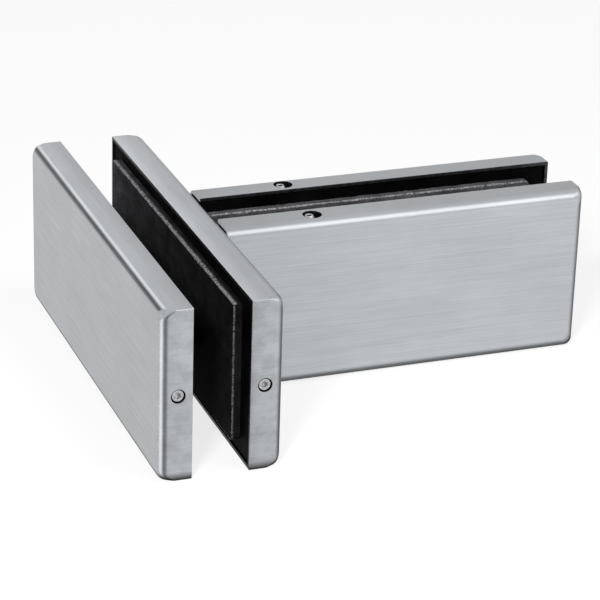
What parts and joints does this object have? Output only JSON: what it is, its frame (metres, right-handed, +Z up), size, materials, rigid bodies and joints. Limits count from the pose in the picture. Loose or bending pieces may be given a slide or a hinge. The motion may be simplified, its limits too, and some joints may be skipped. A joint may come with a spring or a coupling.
{
  "type": "glass patch fitting",
  "caption": "Tee-shaped patch fitting in brushed steel: one clamp pair grips a glass panel's edge, the pair behind it, at right angles, grips a glass fin.",
  "frame": {"origin": "middle of the overall box in plan, at the level of the covers' lower edges", "axes": "+X runs from the front pair out along the fin pair, +Y along the front pair, +Z up along the covers' height"},
  "size_m": [0.1454, 0.13, 0.05],
  "materials": {
    "cover_steel": "brushed",
    "plate_black": "satin black",
    "gasket_grey": "matte",
    "set_screw_steel": "plain",
    "screw_black": "black oxide",
    "sleeve_black": "plain"
  },
  "bodies": {
    "root": {"front_outer_cover": "cover_steel", "front_outer_plate": "plate_black", "front_outer_gasket": "gasket_grey", "front_outer_set_screw_1": "set_screw_steel", "front_outer_set_screw_2": "set_screw_steel", "front_inner_cover": "cover_steel", "front_inner_plate": "plate_black", "front_inner_gasket": "gasket_grey", "front_inner_set_screw_1": "set_screw_steel", "front_inner_set_screw_2": "set_screw_steel", "fin_near_cover": "cover_steel", "fin_near_plate": "plate_black", "fin_near_gasket": "gasket_grey", "fin_near_set_screw_1": "set_screw_steel", "fin_near_set_screw_2": "set_screw_steel", "fin_far_cover": "cover_steel", "fin_far_plate": "plate_black", "fin_far_gasket": "gasket_grey", "fin_far_set_screw_1": "set_screw_steel", "fin_far_set_screw_2": "set_screw_steel", "front_clamp_screw_1": "screw_black", "front_sleeve_1": "sleeve_black", "front_clamp_screw_2": "screw_black", "front_sleeve_2": "sleeve_black", "fin_clamp_screw_1": "screw_black", "fin_sleeve_1": "sleeve_black", "fin_clamp_screw_2": "screw_black", "fin_sleeve_2": "sleeve_black", "fin_fixing_screw_1": "screw_black", "fin_fixing_screw_2": "screw_black"}
  },
  "joints": []
}
